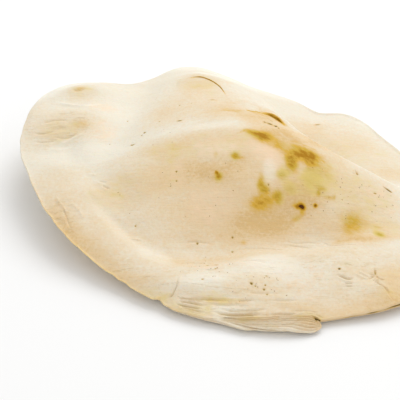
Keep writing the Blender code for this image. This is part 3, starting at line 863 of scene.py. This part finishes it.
def disk(rings, crowd=False):
    """The plan of the loaf: x and y of its points, ring after ring, and its triangles."""
    counts = [RING_STEP * k for k in range(1, rings + 1)]
    share = np.concatenate([[0]] + [np.full(count, count / counts[-1]) for count in counts])
    if crowd:
        share = crowded(share)
    bearing = np.concatenate([[0]] + [np.arange(count) * 2 * np.pi / count for count in counts])
    radius = share * rim_radius(bearing)
    faces = [(0, 1 + i, 1 + (i + 1) % RING_STEP) for i in range(RING_STEP)]
    start = 1
    for count in counts[:-1]:
        end = start + count
        faces += stitch(np.arange(start, end), np.arange(end, end + count + RING_STEP))
        start = end
    return radius * np.cos(bearing), radius * np.sin(bearing), faces


def stitch(inner, outer):
    """Triangles between two evenly spaced rings of points that both start at bearing 0."""
    faces = []
    i = j = 0
    while i < len(inner) or j < len(outer):
        a, b = int(inner[i % len(inner)]), int(outer[j % len(outer)])
        if (i + 1) * len(outer) < (j + 1) * len(inner) or j == len(outer):
            faces.append((a, b, int(inner[(i + 1) % len(inner)])))
            i += 1
        else:
            faces.append((a, b, int(outer[(j + 1) % len(outer)])))
            j += 1
    return faces


def detail_distance(x, y, reach):
    """How far the nearest lip, crease or pit is, as far as reach."""
    distance = np.full(x.shape, reach)
    for curve in [lip.points for lip in LIPS] + [crease.points for crease in CREASES]:
        near = close_to(curve, x, y, reach)
        distance[near] = np.minimum(distance[near], beside(curve, x[near], y[near]).away)
    for pit in PITS:
        distance = np.minimum(distance, np.hypot(x - pit.x * MM, y - pit.y * MM))
    return distance


def refined_disk(rings):
    """The plan of the top, with the edges near its details split, and the nearest ones again."""
    x, y, faces = disk(rings, crowd=True)
    mesh = bmesh.new()
    verts = [mesh.verts.new((px, py, 0)) for px, py in zip(x, y)]
    for face in faces:
        mesh.faces.new([verts[i] for i in face])
    for reach in REFINE_REACH:
        middle = np.array([(e.verts[0].co + e.verts[1].co) / 2 for e in mesh.edges])
        near = detail_distance(middle[:, 0], middle[:, 1], reach) < reach
        edges = [edge for edge, close in zip(mesh.edges, near) if close and not edge.is_boundary]
        bmesh.ops.subdivide_edges(mesh, edges=edges, cuts=1)
        bmesh.ops.triangulate(mesh, faces=[f for f in mesh.faces if len(f.verts) > 3])
    plan = np.array([v.co[:2] for v in mesh.verts])
    mesh.verts.index_update()
    faces = [[v.index for v in face.verts] for face in mesh.faces]
    rim = np.array([v.index for v in mesh.verts if v.is_boundary])
    mesh.free()
    turn = (np.arctan2(plan[rim, 1], plan[rim, 0]) + SAME_BEARING) % (2 * np.pi)
    return plan, faces, rim[np.argsort(turn)]


def gaping(bearing):
    """How much shade is painted in the seam of the edge, from 0 to 1."""
    degrees = np.degrees(bearing) % 360
    return np.clip(sum(seam.darkness * bell((degrees - seam.bearing) / seam.spread) for seam in SEAMS), 0, 1)


def ring_faces(above, below):
    """The quads between two rings of as many points."""
    after = np.roll(np.arange(len(above)), -1)
    return np.stack([above, below, below[after], above[after]], axis=1).tolist()


def edge_ring(share, inset, bearing):
    """Places round the edge, at a share of its thickness and inset millimetres in, and the shade painted in
    the seam there, from 0 to 1."""
    thickness = edge_thickness(bearing)
    radius = rim_radius(bearing) - inset * MM - UNDERCUT * (1 - share) * (FULL_EDGE - thickness)
    height = round_the_rim(bearing, "lift") + share * thickness
    places = np.column_stack([radius * np.cos(bearing), radius * np.sin(bearing), height])
    return places, bell((share - 0.5) / SEAM_SPREAD) * gaping(bearing)


def underside():
    """The places of the underside without its outermost ring, and its triangles, which face down."""
    x, y, faces = disk(UNDERSIDE_RINGS)
    inner = len(x) - RING_STEP * UNDERSIDE_RINGS
    bearing = np.arctan2(y, x)
    z = underside_height(rim_radius(bearing) - np.hypot(x, y), bearing)
    return np.column_stack([x, y, z])[:inner], [face[::-1] for face in faces if max(face) < inner]


def skin_mesh():
    """The closed skin: the top, the thin edge with its seam, and the underside.

    Returns the places of its points, their plan, 1 for those above the seam and 0 for the others, the shade
    painted in the seam on them, and its faces."""
    plan, faces, rim = refined_disk(TOP_RINGS)
    places = [top_skin(plan[:, 0], plan[:, 1]).T]
    plans = [plan]
    shades = [np.zeros(len(plan))]
    uppers = [np.ones(len(plan))]
    count = len(plan)
    bearing = np.arange(len(rim)) * 2 * np.pi / len(rim)
    for share, inset in EDGE_PROFILE:
        ring_places, shade = edge_ring(share, inset, bearing)
        places.append(ring_places)
        plans.append(ring_places[:, :2])
        shades.append(shade)
        uppers.append(np.full(len(rim), share > 0.5))
        ring = np.arange(count, count + len(rim))
        faces += ring_faces(rim, ring)
        rim = ring
        count += len(rim)
    under, under_faces = underside()
    places.append(under)
    plans.append(under[:, :2])
    shades.append(np.zeros(len(under)))
    uppers.append(np.zeros(len(under)))
    faces += [[count + i for i in face] for face in under_faces]
    count += len(under)
    last = np.arange(count - RING_STEP * (UNDERSIDE_RINGS - 1), count)
    faces += [face[::-1] for face in stitch(last, rim)]
    return [np.concatenate(rings) for rings in (places, plans, uppers, shades)] + [faces]


def tongue_places(along, across, side):
    """Places on the tongue, and the shade painted on them, in its pleats and under its tip: along and across
    it from 0 to 1, on its upper side (1) or its lower one (-1)."""
    table = np.array(TONGUE, float) * MM
    root, tip = table[0, 0], table[-1, 0]
    x = root + (tip - root) * along
    outer, inner, thickness = (smooth_curve(x, table[:, 0], column) for column in table.T[1:])
    rounding = np.sqrt(np.clip(1 - np.clip(1 - (tip - x) / TONGUE_TIP, 0, 1) ** 2, 0, 1))
    middle = (outer + inner) / 2
    y = middle + (across - 0.5) * (inner - outer) * rounding
    section = (1 - np.abs(2 * across - 1) ** TONGUE_ROUNDNESS) ** (1 / TONGUE_ROUNDNESS)
    section = section * rounding**TONGUE_THINNING
    out = np.sqrt(((2 * across - 1) * rounding) ** 2 + 1 - rounding**2)
    pleats = HEM[1] * bell((out - HEM[0]) / PLEAT_WIDTH)
    wandering = 2 * across - 1 + wave_height(PLEAT_WANDER, x, y)
    pleats = pleats + rounding * sum(depth * bell((wandering - at) / PLEAT_WIDTH) for at, depth in PLEATS)
    pleats = (side > 0) * ease(thickness / PLEAT_THICKNESS) * pleats
    lift = (side * thickness / 2 - pleats * MM) * section
    base = top_skin(x.ravel(), y.ravel())[2].reshape(x.shape)
    beyond = np.maximum(np.hypot(x, y) - rim_radius(np.arctan2(y, x)), 0)
    sink = TONGUE_SINK * (1 - along) ** 2 + TONGUE_DROOP * beyond
    places = np.stack([x, y, base + thickness / 2 - sink + lift], axis=-1)
    # The pleats' grooves are painted with shade, and the lower side near the tip with shadow.
    if side > 0:
        return places, np.clip(PLEAT_SHADE * pleats, 0, 1)
    return places, TIP_SHADOW * ease((x - tip) / TIP_SHADOW_REACH + 1)


def tongue_mesh():
    """The closed flap: its places, their plan, the shade painted on them, and its faces."""
    steps = TONGUE_STEPS
    along = 1 - (1 - np.linspace(0, 1, steps + 1)[:-1]) ** TONGUE_CROWDING
    across = (1 - np.cos(np.linspace(0, np.pi, TONGUE_RIBS))) / 2
    u, v = np.meshgrid(along, across, indexing="ij")
    upper, upper_shade = tongue_places(u, v, 1)
    lower, lower_shade = tongue_places(u, v, -1)
    ring = np.concatenate([upper, lower[:, -2:0:-1]], axis=1)
    shade = np.concatenate([upper_shade, lower_shade[:, -2:0:-1]], axis=1).ravel()
    places = ring.reshape(-1, 3)
    size = ring.shape[1]
    faces = []
    for i in range(steps - 1):
        start = i * size
        for j in range(size):
            k = (j + 1) % size
            faces.append((start + j, start + size + j, start + size + k, start + k))
    faces.append(tuple(range(size)))
    faces.append(tuple((steps - 1) * size + j for j in reversed(range(size))))
    return places, places[:, :2], shade, faces


# ------------------------------------------------------------------------------------------- the materials


class Tree:
    """A node tree, written one node at a time. An input is a value or another node's output."""

    def __init__(self, tree):
        self.tree = tree
        tree.nodes.clear()

    def add(self, kind, inputs=(), **settings):
        """A new node with these inputs, by name or number, and these settings."""
        node = self.tree.nodes.new(kind)
        for name, value in settings.items():
            setattr(node, name, value)
        for name, value in dict(inputs).items():
            if isinstance(value, bpy.types.NodeSocket):
                self.tree.links.new(value, node.inputs[name])
            else:
                node.inputs[name].default_value = value
        return node

    def noise(self, size, where, detail=2, roughness=0.5):
        """Noise from 0 to 1 whose features are size metres wide."""
        inputs = {"Vector": where, "Scale": 1 / size, "Detail": detail, "Roughness": roughness}
        return self.add("ShaderNodeTexNoise", inputs).outputs["Fac"]

    def math(self, operation, a, b=0.0, c=0.0):
        """One sum of up to three values."""
        node = self.add("ShaderNodeMath", {0: a, 1: b, 2: c}, operation=operation)
        return node.outputs[0]

    def ramp(self, value, low, high):
        """0 to 1 as value goes from low to high, level at both ends."""
        inputs = {"Value": value, "From Min": low, "From Max": high}
        return self.add("ShaderNodeMapRange", inputs, interpolation_type="SMOOTHSTEP").outputs["Result"]

    def blend(self, value, *parts):
        """The value, with each of these noises added by its weight, so that it stays about the same."""
        for noise, weight in parts:
            value = self.math("ADD", value, self.math("MULTIPLY_ADD", noise, weight, -weight / 2))
        return value

    def mix(self, share, a, b):
        """Colour a where the share is 0 and b where it is 1."""
        node = self.add("ShaderNodeMix", {0: share, 6: a, 7: b}, data_type="RGBA")
        return node.outputs[2]

    def coat(self, share, comes, under, colour):
        """Lays a colour over another where the share passes from the first to the second value of comes."""
        return self.mix(self.ramp(share, *comes), under, colour)

    def attribute(self, name):
        """A share that is painted on the mesh."""
        return self.add("ShaderNodeAttribute", attribute_name=name).outputs["Fac"]

    def bump(self, height, distance, strength):
        """The normal of a surface with this relief, whose heights are in units of distance."""
        inputs = {"Height": height, "Distance": distance, "Strength": strength}
        return self.add("ShaderNodeBump", inputs).outputs[0]

    def surface(self, inputs):
        """Ends the tree of a material in a surface with these inputs."""
        shader = self.add("ShaderNodeBsdfPrincipled", inputs)
        self.add("ShaderNodeOutputMaterial", {"Surface": shader.outputs[0]})


def new_material(name):
    """A new material and its tree, still empty."""
    material = bpy.data.materials.new(name)
    material.use_nodes = True
    return material, Tree(material.node_tree)


def skin_frames(t):
    """The places on the skin as they are, drawn out along X, and drawn out down the slope."""
    place = t.add("ShaderNodeTexCoord").outputs["Object"]
    streaked = t.add("ShaderNodeMapping", {"Vector": place, "Scale": STREAK_STRETCH})
    downhill = {"Vector": place, "Rotation": SCORCH_TURN, "Scale": SCORCH_STRETCH}
    downhill = t.add("ShaderNodeMapping", downhill, vector_type="TEXTURE")
    return {"even": place, "streaked": streaked.outputs[0], "downhill": downhill.outputs[0]}


def fine_wrinkles(t, noises, patch):
    """Long fine wrinkles with gaps in them, where the drawn out noise passes its middle value."""
    line = t.math("ABSOLUTE", t.math("SUBTRACT", noises["fold"], 0.5))
    wrinkle = t.math("MULTIPLY", t.ramp(line, WRINKLE_FINENESS, 0), patch)
    return t.math("MULTIPLY", wrinkle, t.ramp(noises["mottle"], *WRINKLE_GAPS))


def baked_colour(t, noises, painted, wrinkle):
    """The colours of the skin, one coat over another, with painted shade and highlights among them."""
    # Tan: baked colour, and painted shade on front slopes, in valleys and low along the rim.
    tan_and_shade = painted("tan_and_shade")
    colour = t.coat(tan_and_shade, DEEP_TAN_COMES, t.mix(tan_and_shade, CREAM, TAN), DEEP_TAN)
    colour = t.coat(painted("peach"), PEACH_COMES, colour, PEACH)
    olive = t.ramp(painted("olive"), *OLIVE_COMES)
    colour = t.mix(olive, colour, OLIVE)
    # Pale: flour, and painted light where the skin is brighter than its shading gives.
    colour = t.coat(painted("pale_and_lit"), PALE_COMES, colour, PALE)
    # Painted shade in the fine wrinkles.
    colour = t.mix(t.math("MULTIPLY", wrinkle, WRINKLE_SHADE_SHARE), colour, WRINKLE_SHADE_TAN)
    # The golden front edge, with a painted highlight.
    colour = t.mix(t.attribute("gilt_and_highlight"), colour, GILT_AND_HIGHLIGHT)
    # Toast, with the painted shadow under the slit's lip and the shade on the blister's face among it.
    ragged = t.math("MULTIPLY_ADD", t.ramp(noises["scorch"], *SCORCH_MARKS), TOAST_RAGGED, TOAST_LEAST)
    toast_and_shadow = t.math("MULTIPLY", t.attribute("toast_and_shadow"), ragged)
    colour = t.coat(toast_and_shadow, GOLD_COMES, colour, t.mix(olive, GOLD, GOLD_OLIVE))
    colour = t.coat(toast_and_shadow, BROWN_COMES, colour, BROWN)
    colour = t.coat(painted("toast_and_shadow"), CHAR_COMES, colour, CHAR)
    # Painted shade in creases, pinholes, pleats, the seam and under the tongue's tip, and the colour of the
    # scorched specks.
    dark = t.attribute("dark")
    colour = t.coat(dark, CREASE_TAN_COMES, colour, CREASE_TAN)
    return t.coat(dark, CREASE_BROWN_COMES, colour, CREASE_BROWN)


def skin_relief(t, noises, patch, wrinkle):
    """The height of the skin's fine relief, in millimetres."""
    height = t.math("MULTIPLY", noises["streak"], t.math("MULTIPLY_ADD", patch, STREAK_GAIN, STREAK_HEIGHT))
    for name, relief in HEIGHTS.items():
        height = t.math("MULTIPLY_ADD", noises[name], relief, height)
    return t.math("MULTIPLY_ADD", wrinkle, WRINKLE_HEIGHT, height)


def skin_material():
    """Baked dough: cream to tan with toasted marks, streaked and wrinkled, dull and a little floury, with
    painted shade in its creases, valleys and seam and painted highlights on its ridges and front edge.
    """
    material, t = new_material("baked_skin")
    frames = skin_frames(t)
    noises = {k: t.noise(n.size * MM, frames[n.frame], n.detail, n.roughness) for k, n in NOISES.items()}

    def painted(name):
        """A painted share, broken up by its noises."""
        return t.blend(t.attribute(name), *((noises[k], weight) for k, weight in BROKEN_BY[name].items()))

    patch = t.ramp(painted("wrinkled"), *WRINKLES_COME)
    wrinkle = fine_wrinkles(t, noises, patch)
    colour = baked_colour(t, noises, painted, wrinkle)
    roughness = t.math("MULTIPLY_ADD", noises["blotch"], BLOTCH_ROUGHNESS, SKIN_ROUGHNESS)
    normal = t.bump(skin_relief(t, noises, patch, wrinkle), MM, RELIEF_STRENGTH)
    t.surface({"Base Color": colour, "Roughness": roughness, "Normal": normal, **SKIN_FINISH})
    return material


def bran_material():
    """Flakes of bran, from dark brown to straw."""
    material, t = new_material("bran")
    place = t.add("ShaderNodeTexCoord").outputs["Object"]
    grain = t.noise(BRAN_GRAIN, place)
    shade = t.blend(t.noise(BRAN_PATCH, place), (grain, BRAN_BROKEN))
    colour = t.coat(shade, BRAN_LIGHT_COMES, BRAN_DARK, BRAN_LIGHT)
    roughness = t.math("MULTIPLY_ADD", grain, BRAN_ROUGHER, BRAN_ROUGHNESS)
    normal = t.bump(grain, BRAN_RELIEF, BRAN_RELIEF_STRENGTH)
    t.surface({"Base Color": colour, "Roughness": roughness, "Normal": normal})
    return material


def new_object(name, data):
    """An object with this data, linked to the scene."""
    made = bpy.data.objects.new(name, data)
    bpy.context.scene.collection.objects.link(made)
    return made


def paint(data, name, values):
    """Paints a share on the points of a mesh."""
    attribute = data.attributes.new(name, "FLOAT", "POINT")
    attribute.data.foreach_set("value", values.astype(np.float32))


def strokes(table, x, y):
    """The strongest of these strokes at each place."""
    strength = np.zeros(x.shape)
    for stroke in table:
        width = stroke.width * MM
        near = close_to(stroke.points, x, y, width)
        at = beside(stroke.points, x[near], y[near])
        taper = ease(at.along / STROKE_TAPER) * ease((1 - at.along) / STROKE_TAPER)
        strength[near] = np.maximum(strength[near], stroke.strength * taper * bell(at.away / width))
    return strength


def gilt_and_highlight(x, y):
    """How golden the edge is, with its painted highlight, from 0 to 1."""
    bearing = np.arctan2(y, x)
    inset = np.maximum(rim_radius(bearing) - np.hypot(x, y), 0)
    off = (np.degrees(bearing) - GILT_HIGHLIGHT_BEARING + 180) % 360 - 180
    return bell(off / GILT_HIGHLIGHT_SPREAD) * np.exp(-inset / GILT_HIGHLIGHT_REACH)


def paint_skin(data, plan, upper, shade):
    """Paints the baked colours, with painted shade and highlights, on the points of a mesh. upper is 1 for
    the points of the top skin, and shade is painted shade that is added to how dark they are."""
    x, y = plan.T
    # Tan: baked colour, and painted shade on front slopes, in valleys and low along the rim.
    paint(data, "tan_and_shade", blots(TANNED_AND_SHADED, x, y) + strokes(TAN_SHADE_STROKES, x, y))
    paint(data, "peach", blots(PEACHY, x, y) * upper)
    paint(data, "olive", blots(OLIVED, x, y) * upper)
    # Pale: flour, and painted light on ridges and where the skin is brighter than its shading gives.
    paint(data, "pale_and_lit", (blots(PALED_AND_LIT, x, y) + strokes(PALE_HIGHLIGHT_STROKES, x, y)) * upper)
    # Toast, with the painted shadow under the slit's lip and the shade on the blister's face among the
    # strokes.
    paint(data, "toast_and_shadow", np.maximum(mounds(TOASTED, x, y), strokes(SCORCHED_AND_SHADOWED, x, y)) * upper)
    # The golden front edge, with a painted highlight.
    paint(data, "gilt_and_highlight", gilt_and_highlight(x, y))
    # Painted shade in creases and pinholes, and the scorched specks' own colour. shade adds the painted shade
    # of the seam, the pleats and the tongue's tip.
    dark = np.clip(creases(x, y)[1] + PIT_SHADE_AND_SPECKS * mounds(PITS, x, y), 0, 1) * upper
    paint(data, "dark", dark + shade)
    paint(data, "wrinkled", blots(RIPPLED, x, y) * upper)
    paint(data, "bran", blots(SPECKLED, x, y) * upper)


def skin_piece(name, places, faces, plan, upper, shade, material):
    """A piece of the skin, painted, shaded smooth and riding on the loaf."""
    data = bpy.data.meshes.new(name)
    data.from_pydata(places, [], faces)
    paint_skin(data, plan, upper, shade)
    data.shade_smooth()
    data.materials.append(material)
    piece = new_object(name, data)
    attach(piece, "root")
    return piece


def make_skin():
    """The skin of the loaf, which stands for the frame's node, and the tongue on it."""
    material = skin_material()
    places, plan, upper, shade, faces = skin_mesh()
    flap_places, flap_plan, flap_shade, flap_faces = tongue_mesh()
    low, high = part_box("bread")
    together = np.concatenate([places, flap_places])
    middle = (np.array(low + high) / 2 - (together.min(0) + together.max(0)) / 2)[:2]
    places[:, :2] += middle
    flap_places[:, :2] += middle
    skin = skin_piece("bread_skin", places, faces, plan, upper, shade, material)
    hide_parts("bread")
    skin_piece("folded_tongue", flap_places, flap_faces, flap_plan, 1, flap_shade, material)
    return skin


def bran_tree(material):
    """Geometry nodes that scatter flat flakes over a skin, where it is painted with bran."""
    tree = bpy.data.node_groups.new("scatter_bran", "GeometryNodeTree")
    tree.interface.new_socket("Skin", in_out="INPUT", socket_type="NodeSocketGeometry")
    for name, kind in (("Flakes per Square Metre", "Float"), ("Flake Size", "Float"), ("Seed", "Int")):
        tree.interface.new_socket(name, in_out="INPUT", socket_type="NodeSocket" + kind)
    tree.interface.new_socket("Flakes", in_out="OUTPUT", socket_type="NodeSocketGeometry")
    t = Tree(tree)
    given = t.add("NodeGroupInput").outputs
    bran = t.add("GeometryNodeInputNamedAttribute", {"Name": "bran"}, data_type="FLOAT").outputs["Attribute"]
    density = t.math("MULTIPLY", t.math("MAXIMUM", bran, 0), given["Flakes per Square Metre"])
    spread = t.add(
        "GeometryNodeDistributePointsOnFaces",
        {"Mesh": given["Skin"], "Density": density, "Seed": given["Seed"]},
    )
    ball = t.add("GeometryNodeMeshIcoSphere", {"Radius": 1.0, "Subdivisions": 1}).outputs["Mesh"]
    flat = {"Min": BRAN_LEAST, "Max": BRAN_MOST, "Seed": given["Seed"]}
    shape = t.add("FunctionNodeRandomValue", flat, data_type="FLOAT_VECTOR").outputs["Value"]
    sized = {0: shape, "Scale": given["Flake Size"]}
    size = t.add("ShaderNodeVectorMath", sized, operation="SCALE").outputs[0]
    turns = {"Min": (0, 0, 0), "Max": (0, 0, radians(360)), "Seed": given["Seed"]}
    turn = t.add("FunctionNodeRandomValue", turns, data_type="FLOAT_VECTOR").outputs["Value"]
    turn = t.add("FunctionNodeEulerToRotation", {"Euler": turn}).outputs[0]
    lie = t.add(
        "FunctionNodeRotateRotation",
        {"Rotation": spread.outputs["Rotation"], "Rotate By": turn},
        rotation_space="LOCAL",
    )
    flakes = t.add(
        "GeometryNodeInstanceOnPoints",
        {"Points": spread.outputs["Points"], "Instance": ball, "Rotation": lie.outputs[0], "Scale": size},
    )
    real = t.add("GeometryNodeRealizeInstances", {"Geometry": flakes.outputs[0]}).outputs[0]
    done = t.add("GeometryNodeSetMaterial", {"Geometry": real, "Material": material}).outputs[0]
    t.add("NodeGroupOutput", {"Flakes": done})
    return tree


def make_bran(skin):
    """The flakes of bran on the skin, as a plain mesh."""
    material = bran_material()
    tree = bran_tree(material)
    guide = new_object("bran_guide", skin.data)
    scatter = guide.modifiers.new("scatter", "NODES")
    scatter.node_group = tree
    values = {"Flakes per Square Metre": BRAN_DENSITY, "Flake Size": BRAN_SIZE, "Seed": BRAN_SEED}
    for socket in tree.interface.items_tree:
        if socket.name in values:
            scatter[socket.identifier] = values[socket.name]
    graph = bpy.context.evaluated_depsgraph_get()
    data = bpy.data.meshes.new_from_object(guide.evaluated_get(graph), depsgraph=graph)
    data.name = "bran_flakes"
    bpy.data.objects.remove(guide)
    flakes = new_object("bran_flakes", data)
    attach(flakes, "root")


# ----------------------------------------------------------------------------------- the floor and light


def make_floor():
    """A plain pale floor under the loaf, for the picture only."""
    corners = [(x * FLOOR_REACH, y * FLOOR_REACH, 0) for x, y in ((-1, -1), (1, -1), (1, 1), (-1, 1))]
    data = bpy.data.meshes.new("floor")
    data.from_pydata(corners, [], [(0, 1, 2, 3)])
    material, t = new_material("floor")
    t.surface(FLOOR_FINISH)
    data.materials.append(material)
    new_object("floor", data)


def make_light():
    """The even pale room and its lamps."""
    scene = bpy.context.scene
    world = bpy.data.worlds.new("studio")
    scene.world = world
    world.use_nodes = True
    background = world.node_tree.nodes["Background"]
    background.inputs["Color"].default_value = (1, 1, 1, 1)
    background.inputs["Strength"].default_value = WORLD_STRENGTH
    for lamp in LAMPS:
        data = bpy.data.lights.new(lamp.name, "AREA")
        data.shape = "SQUARE"
        data.size = lamp.size
        data.energy = lamp.watts
        light = new_object(lamp.name, data)
        light.location = lamp.place
        light.rotation_mode = "QUATERNION"
        light.rotation_quaternion = Vector(lamp.place).to_track_quat("Z", "Y")
    scene.view_settings.view_transform = "Standard"


def make_camera():
    """The camera, in front of the loaf and above it, level from side to side."""
    data = bpy.data.cameras.new("camera")
    data.lens = CAMERA_LENS
    data.sensor_width = CAMERA_SENSOR
    camera = new_object("camera", data)
    up = radians(CAMERA_ELEVATION)
    x, y, z = CAMERA_AIM
    camera.location = (x, y - CAMERA_DISTANCE * cos(up), z + CAMERA_DISTANCE * sin(up))
    camera.rotation_euler = (radians(90) - up, 0, 0)
    bpy.context.scene.camera = camera


for leftover in list(bpy.data.objects):
    bpy.data.objects.remove(leftover)
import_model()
make_bran(make_skin())
make_floor()
make_light()
make_camera()
